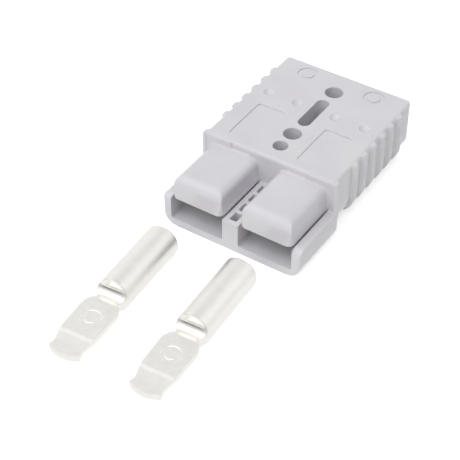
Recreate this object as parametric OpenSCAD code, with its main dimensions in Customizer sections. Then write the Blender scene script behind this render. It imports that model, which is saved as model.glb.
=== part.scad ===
// Two-pole genderless power connector: one moulded housing, two retaining
// leaf springs and two crimp contacts lying in front of it, not yet fitted.
// X is across the poles, Y runs from the mating face to the cable end, Z is up.
// The origin is on the supporting surface, at the middle of the mating edge.
// Units: millimetres.

/* [Housing] */
// Length from the mating edge of the tray to the cable face
overall_len = 80.2; // [72:0.1:100]
// Width over the outer walls of the mating tray
overall_w = 56; // [54:0.1:70]
// Height from the underside to the top face
overall_h = 24.4; // [23:0.1:32]
// Length of the open mating tray in front of the body
tray_len = 24.3; // [20:0.1:30]
// Width of the body between its finger ribs
body_w = 52.6; // [52:0.1:53]
// Radius of the two lower long edges of the body
body_corner_r = 11; // [5:0.5:11.5]
// Radius of the two lower long edges of the tray
tray_corner_r = 6.2; // [4:0.1:6.6]
// Rounding of the upper edges
edge_r = 1.4; // [0.6:0.1:2]
// Plan radius of the corners at the cable face
back_corner_r = 3; // [1.5:0.1:4]

/* [Mating tray] */
// Thickness of the tray floor
floor_t = 2.9; // [2:0.1:3.4]
// Thickness of the tray side walls
side_wall_t = 3.6; // [3:0.05:4.5]
// Width of the wall between the two poles
centre_wall_w = 6.4; // [5.6:0.1:7.5]
// Inner corner radius between the tray floor and its walls
tray_inner_r = 1; // [0.5:0.1:2]
// Radius at the front upper corner of the side walls
wall_nose_r = 3.2; // [1.5:0.1:5]
// Side radius at the rear lower corner of the side walls
wall_heel_r = 4; // [2:0.1:6]
// How far the side walls reach back beside the body
wall_overlap = 0.8; // [0.5:0.1:1.3]

/* [Centre wall pockets] */
// Number of pockets that lighten the centre wall
pocket_count = 4; // [2:1:4]
// Distance between pockets
pocket_pitch = 5.65; // [5:0.05:5.7]
// Length of one pocket
pocket_len = 4; // [2.5:0.1:4.2]
// Wall left each side of a pocket
pocket_wall_t = 1.8; // [1:0.1:2.2]
// Wall in front of the first pocket
pocket_front_t = 1.9; // [1.5:0.1:2.4]
// Depth of the pockets
pocket_depth = 7; // [3:0.5:8]

/* [Contact blocks] */
// Step from the body's top face down to the blocks
block_drop = 3; // [2.6:0.1:3.5]
// Gap between a block and the tray walls beside it
block_gap = 0.36; // [0.2:0.02:0.8]
// Distance of the block noses behind the mating edge
block_setback = 0.1; // [0:0.1:2]
// Height of the block undersides above mid-height
block_lift = 0.2; // [0.1:0.1:0.6]
// Wall thickness of the blocks
block_wall_t = 2.3; // [2:0.1:2.6]
// Lean of the block's sides, in degrees
block_side_draft = 5; // [2:0.5:6]
// Lean of the block's front face, in degrees
block_front_draft = 8; // [3:0.5:10]
// Radius of the shoulders along the block's upper side edges
block_shoulder_r = 3; // [2:0.1:3.5]
// Radius of the block's upper front edge
block_brow_r = 4; // [2.5:0.1:5]
// Plan radius of the block's front corners
block_nose_r = 2.4; // [1.5:0.1:4]
// Fillet where the blocks meet the body
block_fillet_r = 1.2; // [0.6:0.1:1.8]

/* [Finger ribs] */
// Number of ribs along each side
rib_count = 6; // [4:1:6]
// Distance between ribs
rib_pitch = 6.4; // [5:0.1:6.6]
// Diameter of a half-round rib
rib_d = 2.8; // [2:0.1:3.2]
// How far the ribs stand out from the body sides
rib_rise = 1.4; // [0.6:0.1:1.5]
// Distance of the last rib from the cable face
rib_inset = 10.5; // [8:0.1:12]

/* [Fastening holes] */
// Diameter of the two fastening holes
hole_d = 6.6; // [4:0.1:7]
// Distance between the two fastening holes
hole_spacing = 28.9; // [27:0.1:30]
// Distance of the rear fastening hole from the cable face
hole_inset = 11.3; // [8:0.1:12]
// Diameter of the front locating hole
pilot_d = 5.4; // [3:0.1:6]
// Distance of the locating hole in front of the nearer fastening hole
pilot_spacing = 8; // [7.5:0.1:9]
// Width of the slot between the fastening holes
slot_w = 4.6; // [4.2:0.1:5.5]
// Length of the slot over its round ends
slot_len = 17.4; // [12:0.1:18]

/* [Top face marks] */
// Diameter of the four moulding dimples
dimple_d = 4.4; // [3:0.1:5]
// Depth of the dimples
dimple_depth = 0.9; // [0.3:0.1:1]
// Distance of the row of dimples behind the slot's middle
dimple_offset = 1.8; // [0:0.1:4]
// Distance between the inner and outer dimple of one pole
dimple_spacing = 12.1; // [10:0.1:13]
// Diameter of the two shallow round recesses
disc_d = 9.3; // [7:0.1:11]
// Distance of the round recesses from the cable face
disc_inset = 6.5; // [5.6:0.1:8]
// Depth of the round and rectangular recesses
recess_depth = 0.4; // [0.2:0.05:0.5]
// Width of the rectangular recesses
panel_w = 10.8; // [8:0.1:12]
// Length of the rectangular recesses
panel_len = 20.4; // [16:0.1:21]
// Distance of the rectangular recesses behind the body front
panel_inset = 3.9; // [3:0.1:5]

/* [Cable entries] */
// Diameter of the cable entries
entry_d = 13; // [12:0.1:14]
// Diameter of the countersunk mouth of the entries
mouth_d = 14.4; // [14.1:0.1:15.5]
// Depth of the countersunk mouth
mouth_depth = 2; // [1:0.1:4]
// Length of the flat contact channel behind the body front
channel_len = 17; // [12:0.5:20]

/* [Contacts] */
// Overall length of a contact
contact_len = 60.7; // [59:0.1:64]
// Outer diameter of the crimp barrel
barrel_d = 12.1; // [11.4:0.1:12.4]
// Bore of the crimp barrel
barrel_bore_d = 9.6; // [7:0.1:10]
// Length of the crimp barrel over its rounded front
barrel_len = 34.9; // [34.4:0.1:36]
// Depth of the bore in the barrel
barrel_bore_len = 27; // [20:0.5:28]
// Radius that rounds the front of the barrel
barrel_front_r = 4.6; // [2:0.1:5]
// Distance of the scoop in the barrel's upper side from the open end
scoop_start = 30.6; // [29.5:0.1:31]
// Radius of the scoop
scoop_r = 4; // [3:0.1:4.5]
// Width of the tongue
tongue_w = 13.4; // [12:0.1:13.8]
// Thickness of the tongue
tongue_t = 2; // [1.6:0.1:2.6]
// Height of the tongue's mating face above the barrel's axis
tongue_lift = 0.9; // [0.5:0.1:1.5]
// Distance of the tongue's ridge from the open end
ridge_dist = 51.4; // [49:0.1:52.5]
// Width of the bevel that forms the ridge
ridge_w = 1.4; // [0.8:0.1:2]
// Width of the lip at the tongue's front end
lip_w = 11.6; // [10.5:0.1:12]
// Plan radius of the lip
lip_r = 10; // [7:0.5:20]
// Drop of the lip's upper edge below the mating face
lip_drop = 0.9; // [0.6:0.1:1.5]
// Height of the lip's front face
lip_h = 2.3; // [1.5:0.1:3]
// Diameter of the coined round recess
coin_d = 7; // [4:0.1:8]
// Depth of the coined recess
coin_depth = 0.25; // [0.1:0.05:0.4]

/* [Springs] */
// Thickness of the spring strip
spring_t = 0.8; // [0.5:0.1:1]
// Width of the spring strip
spring_w = 9; // [6:0.5:11]
// Height of the catch at the spring's front end
catch_h = 2.6; // [1.5:0.1:3]
// Reach of the spring into the body
spring_root = 12; // [8:0.5:13]

/* [Lying contacts] */
// Distance of the left contact in front of the mating edge
left_gap = 13.5; // [6:0.5:20]
// Distance of the right contact in front of the mating edge
right_gap = 12.3; // [6:0.1:20]
// Turn of the left contact about its barrel end
left_turn = 3.5; // [-4:0.1:4]
// Turn of the right contact about its barrel end
right_turn = 3.2; // [-4:0.1:4]
// Sideways shift of the left contact from its pole's axis
left_shift = -4.3; // [-8:0.1:0]
// Sideways shift of the right contact from its pole's axis
right_shift = -1.2; // [-4:0.1:2]

/* [Hidden] */
$fn = 64;
eps = 0.01;

// Levels and stations that the pieces share
mid_z = overall_h / 2;
body_front_y = tray_len;
tray_in_x = overall_w / 2 - side_wall_t;
wall_x = centre_wall_w / 2;
pole_x = (tray_in_x + wall_x) / 2;

block_w = tray_in_x - wall_x - 2 * block_gap;
block_bottom_z = mid_z + block_lift;
block_top_z = overall_h - block_drop;
block_ceiling_z = block_top_z - block_wall_t;
block_front_y = block_setback;
channel_w = block_w - 2 * block_wall_t;

// The contact's mating face lies at mid-height, so the entry is set to the barrel
entry_z = mid_z + 1;
channel_floor_z = entry_z - entry_d / 2;
hole_rear_y = overall_len - hole_inset;
hole_front_y = hole_rear_y - hole_spacing;
pilot_y = hole_front_y - pilot_spacing;
slot_y = (hole_rear_y + hole_front_y) / 2;
dimple_y = slot_y + dimple_offset;
disc_y = overall_len - disc_inset;
panel_y = body_front_y + panel_inset + panel_len / 2;

rib_back_y = overall_len - rib_inset;
// The corner ribs stand this far in front of the body
corner_rib_reach = 0.6;
corner_rib_y = body_front_y + rib_d / 2 - corner_rib_reach;
// Ribs stop this far above the underside and below the top face
rib_foot = 0.15;
rib_top_drop = 0.3;

// Small roundings
tray_rim_r = 1;
tray_front_r = 1.6;
tray_back_r = 1.2;
body_foot_r = 0.6;
block_root_r = 0.5;
panel_near_r = 0.8;
panel_far_r = 1.6;

// Contact details
barrel_rim_r = 0.5;
// Overlap of the tongue's head with the front of the barrel
head_overlap = 1.9;
// The head slopes up to the mating face over this length and height
head_slope_len = 2.6;
head_slope_h = 0.45;
// The scoop's floor lies this far below the mating face
scoop_step = 0.5;
// The ridge's bevel falls by this much
ridge_drop = 0.4;
// Length of the first facet in front of the ridge
facet_len = 3.2;
// Narrowing of the tongue at the ridge, and of the lip at its root
ridge_narrowing = 0.6;
waist_narrowing = 1;
lip_len = 4.2;
// The tongue is this much thicker where the nose bends down
bend_extra_t = 0.3;
lip_foot_len = 2;
coin_dist = 43.7;
coin_core_share = 0.62;

// Rectangle standing on the X axis, with its own radius for the lower and upper corners
module rounded_outline(w, h, r_low, r_high) {
    translate([-w / 2, r_low]) square([w, h - r_low - r_high]);
    translate([-w / 2 + r_low, 0]) square([w - 2 * r_low, r_low + eps]);
    translate([-w / 2 + r_high, h - r_high - eps]) square([w - 2 * r_high, r_high + eps]);
    for (side = [-1, 1]) {
        translate([side * (w / 2 - r_low), r_low]) circle(r_low);
        translate([side * (w / 2 - r_high), h - r_high]) circle(r_high);
    }
}

// Extrudes an XZ outline along Y, from y0 to y1
module along_y(y0, y1) {
    translate([0, y1, 0]) rotate([90, 0, 0]) linear_extrude(y1 - y0) children();
}

// Extrudes a YZ outline along X, evenly about the middle
module along_x(w) {
    rotate([90, 0, 90]) linear_extrude(w, center = true) children();
}

// Copies to both poles
module each_pole() {
    for (side = [-1, 1]) translate([side * pole_x, 0, 0]) children();
}

// Body block: front profile, plan and side profile cut one common solid
module body_shell() {
    length = overall_len - body_front_y;
    intersection() {
        along_y(body_front_y, overall_len)
            rounded_outline(body_w, overall_h, body_corner_r, edge_r);
        translate([0, body_front_y, -1]) linear_extrude(overall_h + 2)
            rounded_outline(body_w, length, edge_r, back_corner_r);
        along_x(body_w + 2) translate([body_front_y + length / 2, 0])
            rounded_outline(length, overall_h, body_foot_r, edge_r);
    }
}

// Plan of one finger rib on the right side: half-round outside, straight inside the body
module rib_plan(y) {
    rib_r = rib_d / 2;
    centre_x = body_w / 2 + rib_rise - rib_r;
    translate([centre_x, y]) circle(rib_r);
    translate([centre_x - body_corner_r, y - rib_r * 0.8]) square([body_corner_r, rib_r * 1.6]);
}

// All finger ribs: their plan cut to a front profile that is wider than the body
module finger_ribs() {
    intersection() {
        along_y(body_front_y - rib_d, overall_len) translate([0, rib_foot])
            rounded_outline(body_w + 2 * rib_rise, overall_h - rib_foot - rib_top_drop,
                            body_corner_r, edge_r);
        for (side = [0, 1]) mirror([side, 0, 0]) linear_extrude(overall_h) {
            for (i = [0 : rib_count - 1]) rib_plan(rib_back_y - i * rib_pitch);
            rib_plan(corner_rib_y);
        }
    }
}

// Side outline of the tray, round at its lower rear corner; the rear face stands on the origin
module tray_heel(length) {
    translate([wall_heel_r, wall_heel_r]) circle(wall_heel_r);
    translate([0, wall_heel_r]) square([length, mid_z]);
    translate([wall_heel_r, 0]) square([length - wall_heel_r, wall_heel_r + eps]);
}

// Open tray below mid-height: floor, side walls and the wall between the poles
module tray_shell() {
    back_y = body_front_y + wall_overlap;
    nose_y = wall_nose_r;
    difference() {
        intersection() {
            along_y(0, back_y)
                rounded_outline(overall_w, mid_z, tray_corner_r, tray_rim_r);
            translate([0, 0, -1]) linear_extrude(overall_h)
                rounded_outline(overall_w, back_y, tray_front_r, tray_back_r);
            // The heel of the side walls is round where they stand out from the body
            union() {
                along_x(overall_w + 2) translate([back_y, 0]) mirror([1, 0])
                    tray_heel(back_y + 1);
                along_y(-1, back_y + 1)
                    rounded_outline(body_w - rib_foot * 2, overall_h, body_corner_r, edge_r);
            }
        }
        // Clears each pole's bay down to the floor
        each_pole() along_y(-1, body_front_y)
            translate([0, floor_t])
                rounded_outline(tray_in_x - wall_x, overall_h, tray_inner_r, tray_inner_r);
        // Rounds the front upper corner of the side walls
        for (side = [-1, 1])
            translate([side * (tray_in_x + side_wall_t), 0, 0]) along_x(2 * side_wall_t - eps)
                difference() {
                    translate([-1, mid_z - wall_nose_r]) square([1 + nose_y, wall_nose_r + 1]);
                    translate([nose_y, mid_z - wall_nose_r]) circle(wall_nose_r);
                }
    }
}

// Row of pockets in the top of the centre wall
module wall_pockets() {
    pocket_w = centre_wall_w - 2 * pocket_wall_t;
    for (i = [0 : pocket_count - 1])
        translate([-pocket_w / 2, pocket_front_t + i * pocket_pitch, mid_z - pocket_depth])
            cube([pocket_w, pocket_len, pocket_depth + 1]);
}

// Outline left of a leaning face that stands on the origin and rounds over at its top
module leaning_outline(back, h, r, draft) {
    centre_x = -(r + (h - r) * sin(draft)) / cos(draft);
    translate([centre_x, h - r]) circle(r);
    polygon([
        [-back, 0], [0, 0],
        [centre_x + r * cos(draft), h - r + r * sin(draft)],
        [centre_x, h], [-back, h]
    ]);
}

// Outer form of one contact block, about its own pole
module block_solid() {
    reach = body_front_y - block_front_y + edge_r + 1;
    height = block_top_z - block_bottom_z;
    intersection() {
        translate([0, 0, block_bottom_z]) along_y(block_front_y, block_front_y + reach)
            for (side = [0, 1]) mirror([side, 0]) translate([block_w / 2, 0])
                leaning_outline(block_w / 2 + eps, height, block_shoulder_r, block_side_draft);
        translate([0, block_front_y, 0]) linear_extrude(overall_h)
            rounded_outline(block_w, reach + 1, block_nose_r, block_root_r);
        along_x(block_w + 2) translate([block_front_y, block_bottom_z]) mirror([1, 0])
            leaning_outline(reach + 1, height, block_brow_r, block_front_draft);
    }
    // Concave fillet against the body
    translate([0, body_front_y, block_top_z]) along_x(block_w - 2 * block_shoulder_r - 2)
        difference() {
            translate([-block_fillet_r, -eps]) square([block_fillet_r + eps, block_fillet_r]);
            translate([-block_fillet_r, block_fillet_r]) circle(block_fillet_r);
        }
}

// Space for one contact: open under the block, flat through the body front, round behind
module contact_space() {
    channel_end_y = body_front_y + channel_len;
    translate([-channel_w / 2, block_front_y + block_wall_t, block_bottom_z - 1])
        cube([channel_w, channel_end_y - block_front_y - block_wall_t, block_ceiling_z - block_bottom_z + 1]);
    translate([-channel_w / 2, body_front_y - 1, channel_floor_z + 2])
        cube([channel_w, channel_len + 1, block_ceiling_z - channel_floor_z - 2]);
    translate([0, overall_len + 1, entry_z]) rotate([90, 0, 0])
        cylinder(d = entry_d, h = overall_len + 1 - channel_end_y + eps);
    translate([0, overall_len + eps, entry_z]) rotate([90, 0, 0])
        cylinder(d1 = mouth_d, d2 = entry_d, h = mouth_depth);
}

module through_holes() {
    for (y = [hole_rear_y, hole_front_y])
        translate([0, y, -1]) cylinder(d = hole_d, h = overall_h + 2);
    translate([0, pilot_y, -1]) cylinder(d = pilot_d, h = overall_h + 2);
    translate([0, 0, -1]) linear_extrude(overall_h + 2) {
        straight = slot_len - slot_w;
        translate([-slot_w / 2, slot_y - straight / 2]) square([slot_w, straight]);
        for (end = [-1, 1]) translate([0, slot_y + end * straight / 2]) circle(d = slot_w);
    }
}

// Shallow marks in the top face: dimples, round and rectangular recesses
module top_marks() {
    dish_r = (pow(dimple_d / 2, 2) + pow(dimple_depth, 2)) / (2 * dimple_depth);
    each_pole() {
        for (side = [-1, 1])
            translate([side * dimple_spacing / 2, dimple_y, overall_h + dish_r - dimple_depth])
                sphere(dish_r);
        translate([0, disc_y, overall_h - recess_depth]) cylinder(d = disc_d, h = 1);
        translate([0, panel_y - panel_len / 2, overall_h - recess_depth]) linear_extrude(1)
            rounded_outline(panel_w, panel_len, panel_near_r, panel_far_r);
    }
}

module housing() {
    color([0.80, 0.80, 0.82]) difference() {
        union() {
            body_shell();
            finger_ribs();
            tray_shell();
            each_pole() block_solid();
        }
        each_pole() contact_space();
        wall_pockets();
        through_holes();
        top_marks();
    }
}

// Leaf spring under the block ceiling: flat root, sloping leaf and an upturned catch
module spring() {
    root_end_y = body_front_y + spring_root;
    bend_y = body_front_y - 2;
    tip_y = block_front_y + block_wall_t + 2;
    tip_z = mid_z + block_lift + catch_h;
    along_x(spring_w)
        polygon([
            [root_end_y, block_ceiling_z], [bend_y, block_ceiling_z],
            [tip_y, tip_z], [tip_y, tip_z + catch_h], [tip_y - spring_t, tip_z + catch_h],
            [tip_y - spring_t, tip_z - spring_t], [tip_y, tip_z - spring_t],
            [bend_y, block_ceiling_z - spring_t], [root_end_y, block_ceiling_z - spring_t]
        ]);
}

module spring_left() { color("silver") translate([-pole_x, 0, 0]) spring(); }
module spring_right() { color("silver") translate([pole_x, 0, 0]) spring(); }

// Plan outline of the tongue, pointing to -Y: round head, straight sides, tapering nose
module tongue_plan() {
    head_r = tongue_w / 2;
    head_y = -barrel_len + head_overlap - head_r;
    ridge_half_w = (tongue_w - ridge_narrowing) / 2;
    waist_y = -contact_len + lip_len;
    waist_half_w = (lip_w - waist_narrowing) / 2;
    translate([0, head_y]) circle(head_r);
    polygon([
        [-head_r, head_y], [head_r, head_y],
        [ridge_half_w, -ridge_dist], [waist_half_w, waist_y],
        [-waist_half_w, waist_y], [-ridge_half_w, -ridge_dist]
    ]);
    // Lip: flares out from the waist and ends in a flat arc
    intersection() {
        translate([0, -contact_len + lip_r]) circle(lip_r);
        polygon([
            [-waist_half_w, waist_y + eps], [waist_half_w, waist_y + eps],
            [lip_w / 2, waist_y - lip_len / 2], [lip_w / 2, -contact_len - 1],
            [-lip_w / 2, -contact_len - 1], [-lip_w / 2, waist_y - lip_len / 2]
        ]);
    }
}

// Side outline of the tongue, with its mating face at height 0
module tongue_side() {
    head_y = -barrel_len + head_overlap + eps;
    slope_y = head_y - head_slope_len;
    bevel_y = -ridge_dist - ridge_w;
    bend_y = bevel_y - facet_len;
    tip_y = -contact_len - 1;
    polygon([
        [head_y, -head_slope_h], [slope_y, 0], [-ridge_dist, 0],
        [bevel_y, -ridge_drop], [bend_y, -lip_drop], [tip_y, -lip_drop],
        [tip_y, -lip_drop - lip_h], [-contact_len + lip_foot_len, -lip_drop - lip_h],
        [bend_y, -tongue_t - bend_extra_t], [-ridge_dist, -tongue_t], [head_y, -tongue_t]
    ]);
}

// Crimp barrel with its open end at the origin and its axis on Y, round the rim at both ends
module barrel_blank() {
    r = barrel_d / 2;
    rotate([90, 0, 0]) rotate_extrude() intersection() {
        square([r, barrel_len]);
        union() {
            translate([0, barrel_rim_r])
                square([r, barrel_len - barrel_front_r - barrel_rim_r]);
            square([r - barrel_rim_r, barrel_len - barrel_front_r]);
            square([r - barrel_front_r, barrel_len]);
            translate([r - barrel_rim_r, barrel_rim_r]) circle(barrel_rim_r);
            translate([r - barrel_front_r, barrel_len - barrel_front_r]) circle(barrel_front_r);
        }
    }
}

// Scoop that clears the barrel's upper front down to just below the tongue's mating face
module scoop_cut() {
    floor_z = tongue_lift - scoop_step;
    centre_y = -scoop_start - scoop_r;
    along_x(barrel_d + 2) {
        translate([centre_y, floor_z + scoop_r]) circle(scoop_r);
        translate([-barrel_len - 1, floor_z]) square([barrel_len + 1 + centre_y, barrel_d]);
        translate([centre_y - eps, floor_z + scoop_r]) square([scoop_r + eps, barrel_d]);
    }
}

// One crimp contact lying on the surface, with its barrel's open end at the origin
module contact() {
    translate([0, 0, barrel_d / 2]) difference() {
        union() {
            difference() {
                barrel_blank();
                scoop_cut();
            }
            intersection() {
                translate([0, 0, -barrel_d / 2]) linear_extrude(barrel_d) tongue_plan();
                translate([0, 0, tongue_lift]) along_x(tongue_w + 2) tongue_side();
            }
        }
        translate([0, 1, 0]) rotate([90, 0, 0])
            cylinder(d = barrel_bore_d, h = barrel_bore_len + 1);
        translate([0, -coin_dist, tongue_lift - coin_depth]) difference() {
            cylinder(d = coin_d, h = 1);
            translate([0, 0, -1]) cylinder(d = coin_d * coin_core_share, h = 3);
        }
    }
}

module lying_contact(x, gap, turn) {
    color([0.86, 0.85, 0.83]) translate([x, -gap, 0]) rotate([0, 0, turn]) contact();
}

module contact_left() { lying_contact(-pole_x + left_shift, left_gap, left_turn); }
module contact_right() { lying_contact(pole_x + right_shift, right_gap, right_turn); }

housing();
spring_left();
spring_right();
contact_left();
contact_right();
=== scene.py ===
"""Two-pole genderless power connector: soft moulded housing, leaf springs and two crimp contacts."""
import math
from collections import namedtuple

import bmesh
import bpy
from mathutils import Matrix, Vector


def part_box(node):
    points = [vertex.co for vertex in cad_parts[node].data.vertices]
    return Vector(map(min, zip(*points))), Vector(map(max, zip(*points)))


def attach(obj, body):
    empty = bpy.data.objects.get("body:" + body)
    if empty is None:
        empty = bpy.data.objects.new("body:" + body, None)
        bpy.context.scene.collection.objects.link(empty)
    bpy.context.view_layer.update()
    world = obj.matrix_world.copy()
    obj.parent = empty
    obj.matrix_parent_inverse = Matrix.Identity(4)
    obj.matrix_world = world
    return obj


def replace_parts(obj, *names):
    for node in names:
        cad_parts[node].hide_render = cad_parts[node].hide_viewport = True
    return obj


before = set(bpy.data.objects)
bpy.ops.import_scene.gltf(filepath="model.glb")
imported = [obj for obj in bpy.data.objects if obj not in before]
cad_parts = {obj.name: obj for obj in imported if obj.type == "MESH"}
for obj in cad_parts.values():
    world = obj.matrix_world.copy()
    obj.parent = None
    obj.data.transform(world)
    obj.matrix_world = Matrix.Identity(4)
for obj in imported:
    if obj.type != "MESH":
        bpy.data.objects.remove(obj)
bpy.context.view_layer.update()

MM = 0.001

# Height of the housing's top, in metres like all lengths below
TOP_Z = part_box("housing")[1].z

# Scoop in front of each barrel: its place, as shares of the contact's length from the open end and
# of its height. Burnishing leaves BURNISHED_SHARE of the roughness up to BURNISHED_R from there,
# and fades out at UNBURNISHED_R.
SCOOP_SHARE = 0.54
SCOOP_HEIGHT_SHARE = 0.75
BURNISHED_R = 3.0 * MM
UNBURNISHED_R = 5.5 * MM
BURNISHED_SHARE = 0.3

# Contact blocks: distance of their middles from the centre, and the polarity marks on them, whose
# bars have MARK_HALF as half their length and MARK_STROKE as half their width. The marks show only
# within MARK_REACH of the top.
POLE_X = 13.8 * MM
MARK_Y = 12.8 * MM
MARK_HALF = 4.2 * MM
MARK_STROKE = 0.9 * MM
MARK_SOFTNESS = 0.25 * MM
MARK_REACH = 5 * MM
MARK_HEIGHT = 0.12 * MM

# Moulding marks on top of the housing: label panels, dials and dimples. Y is the distance from
# the mating edge.
PANEL_Y0, PANEL_Y1 = 28.2 * MM, 48.6 * MM
PANEL_W = 10.8 * MM
PANEL_R = 1.2 * MM
RECESS_DEPTH = 0.35 * MM
DIAL_Y = 73.7 * MM
DIAL_D = 7.8 * MM
DIAL_CORE_D = 4.6 * MM
DIMPLE_Y = 56.25 * MM
DIMPLE_SPACING = 12.1 * MM
DIMPLE_D = 4.2 * MM
DIMPLE_DEPTH = 0.9 * MM

# Plugs that fill the solids' own marks, which are a little wider, and the cutters' height above the top
PANEL_PLUG_MARGIN = 0.3 * MM
DIAL_PLUG_D = 9.9 * MM
DIMPLE_PLUG_D = 5.1 * MM
PLUG_DEPTH = 1.4 * MM
CUTTER_RISE = 1 * MM

# Rounding of each skin: a coarser voxel and more steps give rounder edges
Softening = namedtuple("Softening", "voxel steps faces")
HOUSING_SOFTENING = Softening(voxel=0.20 * MM, steps=5, faces=95000)
CONTACT_SOFTENING = Softening(voxel=0.16 * MM, steps=4, faces=30000)
SMOOTH_FACTOR = 0.5

# Vertices closer than this are one, and edges of the cuts steeper than this stay sharp
MERGE_DISTANCE = 0.0005 * MM
CREASE_ANGLE = math.radians(40)

# Sizes of the grain in the finishes
CLOUD_SIZE = 14 * MM
SPARK_SIZE = 0.5 * MM
SPARK_HEIGHT = 0.02 * MM
TUMBLE_SIZE = 2.2 * MM
TUMBLE_HEIGHT = 0.03 * MM
ROLLING_WIDTH = 0.2 * MM
ROLLING_LENGTH = 12 * MM

# Softboxes in the tent: direction in degrees, light on matt surfaces, and brightness in gloss
Softbox = namedtuple("Softbox", "azimuth elevation matt gloss")
SOFTBOXES = (
    Softbox(0, 50, 1.80, 0.75),    # front
    Softbox(300, 50, 0.65, 0.90),  # front left
    Softbox(180, 28, 0.85, 0.80),  # back
    Softbox(0, 90, 0.40, 0.15),    # overhead
    Softbox(120, 25, 0.05, 0.90),  # back right
    Softbox(240, 10, 0.00, 0.85),  # back left
    Softbox(60, 30, 0.00, 0.30),   # front right
)
SOFTBOX_FOCUS = 4.0

# Key lamp: small, high up on the camera's side, in degrees, metres and watts
KEY_AZIMUTH = 38
KEY_ELEVATION = 60
KEY_DISTANCE = 0.9
KEY_SIZE = 0.08
KEY_POWER = 0.5

# Paper sweep, just below the object's lowest point
SWEEP_HALF = 3.0
SWEEP_DROP = 0.05 * MM

# Camera: a long lens, well above the object and to its right
VIEW_AZIMUTH = 33.3
VIEW_ELEVATION = 42.0
VIEW_DISTANCE = 458.4 * MM
VIEW_AIM = Vector((0.47, -0.58, 9.75)) * MM
LENS = 106.1
SENSOR = 36.0
CLIP_NEAR = 0.01
CLIP_FAR = 20


def linear(hex_colour):
    """sRGB hex value as linear RGBA."""
    parts = [int(hex_colour[i:i + 2], 16) / 255 for i in (1, 3, 5)]
    return [c / 12.92 if c <= 0.04045 else ((c + 0.055) / 1.055) ** 2.4 for c in parts] + [1.0]


def add_node(tree, kind, settings=None, links=None, values=None):
    """Adds one shader node: settings are its properties, values its socket values, links its inputs."""
    node = tree.nodes.new(kind)
    for name, value in (settings or {}).items():
        setattr(node, name, value)
    for name, value in (values or {}).items():
        node.inputs[name].default_value = value
    for name, socket in (links or {}).items():
        tree.links.new(socket, node.inputs[name])
    return node


def new_material(name):
    """Material with only an output node, and its tree."""
    material = bpy.data.materials.new(name)
    material.use_nodes = True
    material.node_tree.nodes.clear()
    return material, material.node_tree


def finish_surface(tree, shader):
    """Ends a material's tree with this shader."""
    add_node(tree, "ShaderNodeOutputMaterial", links={"Surface": shader.outputs[0]})


def ramp_between(tree, factor, low, high, colour_low, colour_high):
    """Colour ramp of two stops."""
    node = add_node(tree, "ShaderNodeValToRGB", links={"Fac": factor})
    stops = node.color_ramp.elements
    stops[0].position, stops[1].position = low, high
    stops[0].color, stops[1].color = colour_low, colour_high
    return node


def combine(tree, operation, first, second):
    """Math node on two sockets."""
    node = add_node(tree, "ShaderNodeMath", settings={"operation": operation}, links={0: first, 1: second})
    return node.outputs[0]


# --- Materials -----------------------------------------------------------------------------

def band_mask(tree, value, centre, half_width, soft):
    """1 where the value lies within half_width of the centre, with soft edges."""
    offset = add_node(tree, "ShaderNodeMath", settings={"operation": "SUBTRACT"}, links={0: value},
                      values={1: centre})
    size = add_node(tree, "ShaderNodeMath", settings={"operation": "ABSOLUTE"},
                    links={0: offset.outputs[0]})
    mask = add_node(tree, "ShaderNodeMapRange", settings={"interpolation_type": "SMOOTHSTEP"},
                    links={"Value": size.outputs[0]},
                    values={"From Min": half_width - soft, "From Max": half_width + soft,
                            "To Min": 1.0, "To Max": 0.0})
    return mask.outputs["Result"]


def polarity_marks(tree, coords):
    """Height, from 0 to 1, of the raised minus and plus on top of the two contact blocks."""
    axes = add_node(tree, "ShaderNodeSeparateXYZ", links={"Vector": coords}).outputs

    def bar(centre_x, half_x, half_y):
        """Upright bar of a mark, at MARK_Y."""
        return combine(tree, "MULTIPLY", band_mask(tree, axes["X"], centre_x, half_x, MARK_SOFTNESS),
                       band_mask(tree, axes["Y"], MARK_Y, half_y, MARK_SOFTNESS))

    minus = bar(-POLE_X, MARK_HALF, MARK_STROKE)
    plus = combine(tree, "MAXIMUM", bar(POLE_X, MARK_HALF, MARK_STROKE),
                   bar(POLE_X, MARK_STROKE, MARK_HALF))
    marks = combine(tree, "ADD", minus, plus)
    on_top = add_node(tree, "ShaderNodeMath", settings={"operation": "GREATER_THAN"}, links={0: axes["Z"]},
                      values={1: TOP_Z - MARK_REACH})
    return combine(tree, "MULTIPLY", marks, on_top.outputs[0])


def moulded_polycarbonate():
    """Light grey injection-moulded polycarbonate: smooth gloss, faint flow clouds, fine spark texture."""
    material, tree = new_material("moulded_polycarbonate")
    coords = add_node(tree, "ShaderNodeTexCoord").outputs["Object"]
    clouds = add_node(tree, "ShaderNodeTexNoise", links={"Vector": coords},
                      values={"Scale": 1 / CLOUD_SIZE, "Detail": 3.0, "Roughness": 0.5})
    colour = ramp_between(tree, clouds.outputs["Fac"], 0.3, 0.7, linear("#d4d2d7"), linear("#d9d8dc"))
    grain = add_node(tree, "ShaderNodeTexNoise", links={"Vector": coords},
                     values={"Scale": 1 / SPARK_SIZE, "Detail": 2.0, "Roughness": 0.6})
    rough = add_node(tree, "ShaderNodeMapRange", links={"Value": grain.outputs["Fac"]},
                     values={"To Min": 0.07, "To Max": 0.13})
    raised = add_node(tree, "ShaderNodeBump", links={"Height": polarity_marks(tree, coords)},
                      values={"Strength": 0.5, "Distance": MARK_HEIGHT})
    bump = add_node(tree, "ShaderNodeBump",
                    links={"Height": grain.outputs["Fac"], "Normal": raised.outputs["Normal"]},
                    values={"Strength": 0.10, "Distance": SPARK_HEIGHT})
    shader = add_node(tree, "ShaderNodeBsdfPrincipled",
                      links={"Base Color": colour.outputs["Color"], "Roughness": rough.outputs["Result"],
                             "Normal": bump.outputs["Normal"]},
                      values={"IOR": 1.58, "Specular IOR Level": 0.5})
    finish_surface(tree, shader)
    return material


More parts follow.
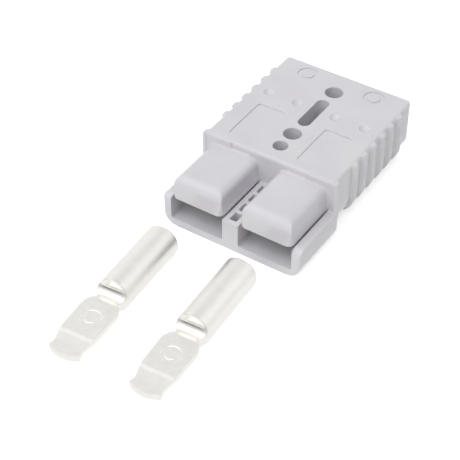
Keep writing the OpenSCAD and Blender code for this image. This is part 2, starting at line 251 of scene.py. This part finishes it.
def silver_plated_copper(name, scoop):
    """Silver plate over copper: pale, warm and satin from tumbling, burnished in the pressed scoop."""
    material, tree = new_material(name)
    coords = add_node(tree, "ShaderNodeTexCoord").outputs["Object"]
    tumble = add_node(tree, "ShaderNodeTexNoise", links={"Vector": coords},
                      values={"Scale": 1 / TUMBLE_SIZE, "Detail": 4.0, "Roughness": 0.6})
    colour = ramp_between(tree, tumble.outputs["Fac"], 0.3, 0.75, linear("#f3f1ec"), linear("#faf8f4"))
    satin = add_node(tree, "ShaderNodeMapRange", links={"Value": tumble.outputs["Fac"]},
                     values={"To Min": 0.34, "To Max": 0.46})
    reach = add_node(tree, "ShaderNodeVectorMath", settings={"operation": "DISTANCE"},
                     links={0: coords}, values={1: scoop})
    outside = add_node(tree, "ShaderNodeMapRange", links={"Value": reach.outputs["Value"]},
                       values={"From Min": BURNISHED_R, "From Max": UNBURNISHED_R,
                               "To Min": BURNISHED_SHARE, "To Max": 1.0})
    rough = combine(tree, "MULTIPLY", satin.outputs["Result"], outside.outputs["Result"])
    bump = add_node(tree, "ShaderNodeBump", links={"Height": tumble.outputs["Fac"]},
                    values={"Strength": 0.12, "Distance": TUMBLE_HEIGHT})
    shader = add_node(tree, "ShaderNodeBsdfPrincipled",
                      links={"Base Color": colour.outputs["Color"], "Roughness": rough,
                             "Normal": bump.outputs["Normal"]},
                      values={"Metallic": 1.0})
    finish_surface(tree, shader)
    return material


def rolled_stainless():
    """Cold-rolled stainless strip: grey metal with fine rolling lines along its length."""
    material, tree = new_material("rolled_stainless")
    coords = add_node(tree, "ShaderNodeTexCoord").outputs["Object"]
    along = add_node(tree, "ShaderNodeMapping", links={"Vector": coords},
                     values={"Scale": (1 / ROLLING_WIDTH, 1 / ROLLING_LENGTH, 1 / ROLLING_WIDTH)})
    lines = add_node(tree, "ShaderNodeTexNoise", links={"Vector": along.outputs["Vector"]},
                     values={"Scale": 1.0, "Detail": 2.0})
    rough = add_node(tree, "ShaderNodeMapRange", links={"Value": lines.outputs["Fac"]},
                     values={"To Min": 0.22, "To Max": 0.42})
    shader = add_node(tree, "ShaderNodeBsdfPrincipled",
                      links={"Roughness": rough.outputs["Result"]},
                      values={"Base Color": linear("#c9c7c2"), "Metallic": 1.0})
    finish_surface(tree, shader)
    return material


def white_sweep():
    """White paper sweep lit from below: plain white to the camera and in gloss, with a faint shadow."""
    material, tree = new_material("white_sweep")
    rays = add_node(tree, "ShaderNodeLightPath")
    paper = add_node(tree, "ShaderNodeBsdfDiffuse", values={"Color": linear("#f4f4f4")})
    glow_strength = add_node(tree, "ShaderNodeMapRange", links={"Value": rays.outputs["Is Camera Ray"]},
                             values={"To Min": 0.05, "To Max": 0.5})
    glow = add_node(tree, "ShaderNodeEmission", values={"Color": linear("#ffffff")},
                    links={"Strength": glow_strength.outputs["Result"]})
    lit = add_node(tree, "ShaderNodeAddShader", links={0: paper.outputs[0], 1: glow.outputs[0]})
    flat = add_node(tree, "ShaderNodeEmission", values={"Color": linear("#ffffff"), "Strength": 1.0})
    mixed = add_node(tree, "ShaderNodeMixShader",
                     links={0: rays.outputs["Is Glossy Ray"], 1: lit.outputs[0], 2: flat.outputs[0]})
    finish_surface(tree, mixed)
    return material


# --- Meshes --------------------------------------------------------------------------------

def add_object(name, data):
    """New object in the scene, at the origin."""
    obj = bpy.data.objects.new(name, data)
    bpy.context.scene.collection.objects.link(obj)
    return obj


def add_skin(name, mesh, material):
    """New visible piece of the connector: smooth-shaded, of one material."""
    obj = add_object(name, mesh)
    mesh.materials.clear()
    mesh.materials.append(material)
    for face in mesh.polygons:
        face.use_smooth = True
    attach(obj, "root")
    return obj


def baked(obj):
    """Mesh of an object with its modifiers applied."""
    graph = bpy.context.evaluated_depsgraph_get()
    return bpy.data.meshes.new_from_object(obj.evaluated_get(graph))


def disc(shape, x, y, diameter, bottom, top, segments=64):
    """Adds an upright cylinder to a shape."""
    place = Matrix.Translation((x, y, (bottom + top) / 2))
    bmesh.ops.create_cone(shape, cap_ends=True, segments=segments, radius1=diameter / 2,
                          radius2=diameter / 2, depth=top - bottom, matrix=place)


def plate(shape, x, y0, y1, width, radius, bottom, top, segments=8):
    """Adds an upright prism with rounded corners to a shape."""
    points = []
    for quarter in range(4):
        side_x = 1 if quarter in (0, 3) else -1
        side_y = 1 if quarter in (0, 1) else -1
        centre = Vector((x + side_x * (width / 2 - radius),
                         (y0 + y1) / 2 + side_y * ((y1 - y0) / 2 - radius)))
        for step in range(segments + 1):
            angle = math.pi / 2 * (quarter + step / segments)
            points.append(centre + Vector((math.cos(angle), math.sin(angle))) * radius)
    rim = [shape.verts.new((point.x, point.y, bottom)) for point in points]
    base = shape.faces.new(rim)
    lifted = bmesh.ops.extrude_face_region(shape, geom=[base], use_keep_orig=True)["geom"]
    bmesh.ops.translate(shape, verts=[v for v in lifted if isinstance(v, bmesh.types.BMVert)],
                        vec=(0, 0, top - bottom))


def ring(shape, x, y, inner, outer, bottom, top, segments=64):
    """Adds an upright tube to a shape."""
    angles = [2 * math.pi * step / segments for step in range(segments)]
    loops = []
    for diameter, height in ((inner, bottom), (inner, top), (outer, top), (outer, bottom)):
        loops.append([shape.verts.new((x + math.cos(angle) * diameter / 2,
                                       y + math.sin(angle) * diameter / 2, height))
                      for angle in angles])
    for near, far in zip(loops, loops[1:] + loops[:1]):
        for step in range(segments):
            after = (step + 1) % segments
            shape.faces.new((near[step], near[after], far[after], far[step]))


def finished(shape, name):
    """Turns a shape into a mesh with its faces outwards."""
    bmesh.ops.recalc_face_normals(shape, faces=shape.faces)
    mesh = bpy.data.meshes.new(name)
    shape.to_mesh(mesh)
    shape.free()
    return mesh


def mark_plugs():
    """Plugs that fill the solids' own moulding marks, so that they can be cut afresh with crisp edges."""
    shape = bmesh.new()
    bottom = TOP_Z - PLUG_DEPTH
    for pole in (-POLE_X, POLE_X):
        plate(shape, pole, PANEL_Y0 - PANEL_PLUG_MARGIN, PANEL_Y1 + PANEL_PLUG_MARGIN,
              PANEL_W + 2 * PANEL_PLUG_MARGIN, PANEL_R, bottom, TOP_Z)
        disc(shape, pole, DIAL_Y, DIAL_PLUG_D, bottom, TOP_Z)
        for side in (-1, 1):
            disc(shape, pole + side * DIMPLE_SPACING / 2, DIMPLE_Y, DIMPLE_PLUG_D, bottom, TOP_Z)
    return finished(shape, "mark_plugs")


def mark_cutter():
    """Everything that the moulding marks take out of the top: label panels, dial rings and dimples."""
    shape = bmesh.new()
    above = TOP_Z + CUTTER_RISE
    dish_r = ((DIMPLE_D / 2) ** 2 + DIMPLE_DEPTH ** 2) / (2 * DIMPLE_DEPTH)
    for pole in (-POLE_X, POLE_X):
        plate(shape, pole, PANEL_Y0, PANEL_Y1, PANEL_W, PANEL_R, TOP_Z - RECESS_DEPTH, above)
        ring(shape, pole, DIAL_Y, DIAL_CORE_D, DIAL_D, TOP_Z - RECESS_DEPTH, above)
        for side in (-1, 1):
            centre = (pole + side * DIMPLE_SPACING / 2, DIMPLE_Y, TOP_Z + dish_r - DIMPLE_DEPTH)
            bmesh.ops.create_uvsphere(shape, u_segments=64, v_segments=48, radius=dish_r,
                                      matrix=Matrix.Translation(centre))
    return finished(shape, "mark_cutter")


def scoop_centre(node):
    """Middle of the pressed scoop in front of a contact's barrel."""
    low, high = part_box(node)
    size = high - low
    return Vector(((low.x + high.x) / 2, high.y - size.y * SCOOP_SHARE,
                   low.z + size.z * SCOOP_HEIGHT_SHARE))


def tell_apart(body, cutter, material):
    """Gives the cutter's faces another material index than the body's."""
    for mesh in (body, cutter):
        mesh.materials.clear()
        mesh.materials.append(material)
        mesh.materials.append(material)
    cutter.polygons.foreach_set("material_index", [1] * len(cutter.polygons))


def crease_cuts(mesh):
    """Marks the rims and steep edges of the cuts as sharp, and gives all faces one material index."""
    shape = bmesh.new()
    shape.from_mesh(mesh)
    for edge in shape.edges:
        if len(edge.link_faces) == 2:
            first, second = edge.link_faces
            at_rim = first.material_index != second.material_index
            steep = first.normal.angle(second.normal, 0.0) > CREASE_ANGLE
            edge.smooth = not (at_rim or (first.material_index == 1 and steep))
    for face in shape.faces:
        face.material_index = 0
    shape.to_mesh(mesh)
    shape.free()


def solid_copy(node, plug=None):
    """Mesh of a CAD node, with the plug's closed forms added to it."""
    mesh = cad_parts[node].data.copy()
    shape = bmesh.new()
    shape.from_mesh(mesh)
    bmesh.ops.remove_doubles(shape, verts=shape.verts, dist=MERGE_DISTANCE)
    if plug:
        shape.from_mesh(plug)
    shape.to_mesh(mesh)
    shape.free()
    return mesh


def soft_mesh(mesh, softening):
    """Mesh with its sharp edges rounded, thinned to about the wanted number of faces."""
    work = add_object("soft_work", mesh)
    remesh = work.modifiers.new("voxels", "REMESH")
    remesh.mode = "VOXEL"
    remesh.voxel_size = softening.voxel
    smooth = work.modifiers.new("soften", "SMOOTH")
    smooth.factor = SMOOTH_FACTOR
    smooth.iterations = softening.steps
    result = baked(work)
    work.modifiers.clear()
    work.data = result
    thin = work.modifiers.new("thin", "DECIMATE")
    thin.ratio = min(1.0, softening.faces / len(result.polygons))
    result = baked(work)
    bpy.data.objects.remove(work)
    return result


def crisp_cut(mesh, cutter, material):
    """Takes a cutter's forms out of a mesh and keeps the edges of the cuts sharp."""
    tell_apart(mesh, cutter, material)
    work = add_object("cut_work", mesh)
    tool = add_object("cut_tool", cutter)
    cut = work.modifiers.new("cut", "BOOLEAN")
    cut.operation = "DIFFERENCE"
    cut.solver = "EXACT"
    cut.material_mode = "INDEX"
    cut.object = tool
    result = baked(work)
    for obj in (work, tool):
        bpy.data.objects.remove(obj)
    crease_cuts(result)
    return result


# --- Scene ---------------------------------------------------------------------------------

def heading_to(azimuth, elevation):
    """Direction from the object to a place round it, with azimuth 0 in front of the mating edge."""
    a, e = math.radians(azimuth), math.radians(elevation)
    return Vector((math.sin(a) * math.cos(e), -math.cos(a) * math.cos(e), math.sin(e)))


def aim_from(obj, target, heading, distance):
    """Puts a camera or a lamp at a distance from the target, facing it."""
    obj.location = target + heading * distance
    obj.rotation_euler = (-heading).to_track_quat("-Z", "Y").to_euler()


def set_camera():
    """Camera of the main view."""
    data = bpy.data.cameras.new("camera")
    data.lens = LENS
    data.sensor_width = SENSOR
    data.clip_start = CLIP_NEAR
    data.clip_end = CLIP_FAR
    camera = add_object("camera", data)
    aim_from(camera, VIEW_AIM, heading_to(VIEW_AZIMUTH, VIEW_ELEVATION), VIEW_DISTANCE)
    bpy.context.scene.camera = camera


def set_sweep():
    """Pale paper under the object."""
    shape = bmesh.new()
    bmesh.ops.create_grid(shape, x_segments=1, y_segments=1, size=SWEEP_HALF)
    mesh = bpy.data.meshes.new("sweep")
    shape.to_mesh(mesh)
    shape.free()
    mesh.materials.append(white_sweep())
    sweep = add_object("sweep", mesh)
    sweep.location.z = -SWEEP_DROP


def set_tent():
    """White tent with softboxes, which count differently for matt surfaces and for gloss."""
    world = bpy.data.worlds.new("tent")
    bpy.context.scene.world = world
    world.use_nodes = True
    tree = world.node_tree
    tree.nodes.clear()
    rays = add_node(tree, "ShaderNodeLightPath")
    heading = add_node(tree, "ShaderNodeTexCoord").outputs["Generated"]

    def softbox_glow(box):
        """Round soft patch of light on the tent, brightest at its middle."""
        facing = add_node(tree, "ShaderNodeVectorMath", settings={"operation": "DOT_PRODUCT"},
                          links={0: heading}, values={1: heading_to(box.azimuth, box.elevation)})
        lit = add_node(tree, "ShaderNodeMath", settings={"operation": "MAXIMUM"},
                       links={0: facing.outputs["Value"]}, values={1: 0.0})
        patch = add_node(tree, "ShaderNodeMath", settings={"operation": "POWER"},
                         links={0: lit.outputs[0]}, values={1: SOFTBOX_FOCUS})
        return patch.outputs[0]

    glows = [softbox_glow(box) for box in SOFTBOXES]

    def total(strengths):
        """All softboxes together, each at its own strength."""
        result = None
        for glow, strength in zip(glows, strengths):
            part = add_node(tree, "ShaderNodeMath", settings={"operation": "MULTIPLY"},
                            links={0: glow}, values={1: strength}).outputs[0]
            result = part if result is None else combine(tree, "ADD", result, part)
        return result

    lighting = total([box.matt for box in SOFTBOXES])
    mirrored = total([box.gloss for box in SOFTBOXES])
    by_kind = add_node(tree, "ShaderNodeMix", settings={"data_type": "FLOAT"},
                       links={0: rays.outputs["Is Glossy Ray"], 2: lighting, 3: mirrored})
    seen = add_node(tree, "ShaderNodeMix", settings={"data_type": "FLOAT"},
                    links={0: rays.outputs["Is Camera Ray"], 2: by_kind.outputs[0]}, values={3: 1.0})
    sky = add_node(tree, "ShaderNodeBackground", values={"Color": linear("#ffffff")},
                   links={"Strength": seen.outputs[0]})
    add_node(tree, "ShaderNodeOutputWorld", links={"Surface": sky.outputs[0]})


def set_key_lamp():
    """Small square lamp that gives the upper edges their highlights."""
    data = bpy.data.lights.new("key", "AREA")
    data.size = KEY_SIZE
    data.energy = KEY_POWER
    lamp = add_object("key", data)
    aim_from(lamp, Vector(), heading_to(KEY_AZIMUTH, KEY_ELEVATION), KEY_DISTANCE)


bpy.context.scene.view_settings.view_transform = "Standard"
set_camera()
set_sweep()
set_tent()
set_key_lamp()

POLYCARBONATE = moulded_polycarbonate()
STAINLESS = rolled_stainless()

skin = soft_mesh(solid_copy("housing", mark_plugs()), HOUSING_SOFTENING)
skin = crisp_cut(skin, mark_cutter(), POLYCARBONATE)
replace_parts(add_skin("housing_skin", skin, POLYCARBONATE), "housing")
for side in ("left", "right"):
    node = "contact_" + side
    silver = silver_plated_copper("silver_plate_" + side, scoop_centre(node))
    skin = soft_mesh(solid_copy(node), CONTACT_SOFTENING)
    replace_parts(add_skin("contact_skin_" + side, skin, silver), node)
    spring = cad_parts["spring_" + side]
    spring.data.materials.clear()
    spring.data.materials.append(STAINLESS)
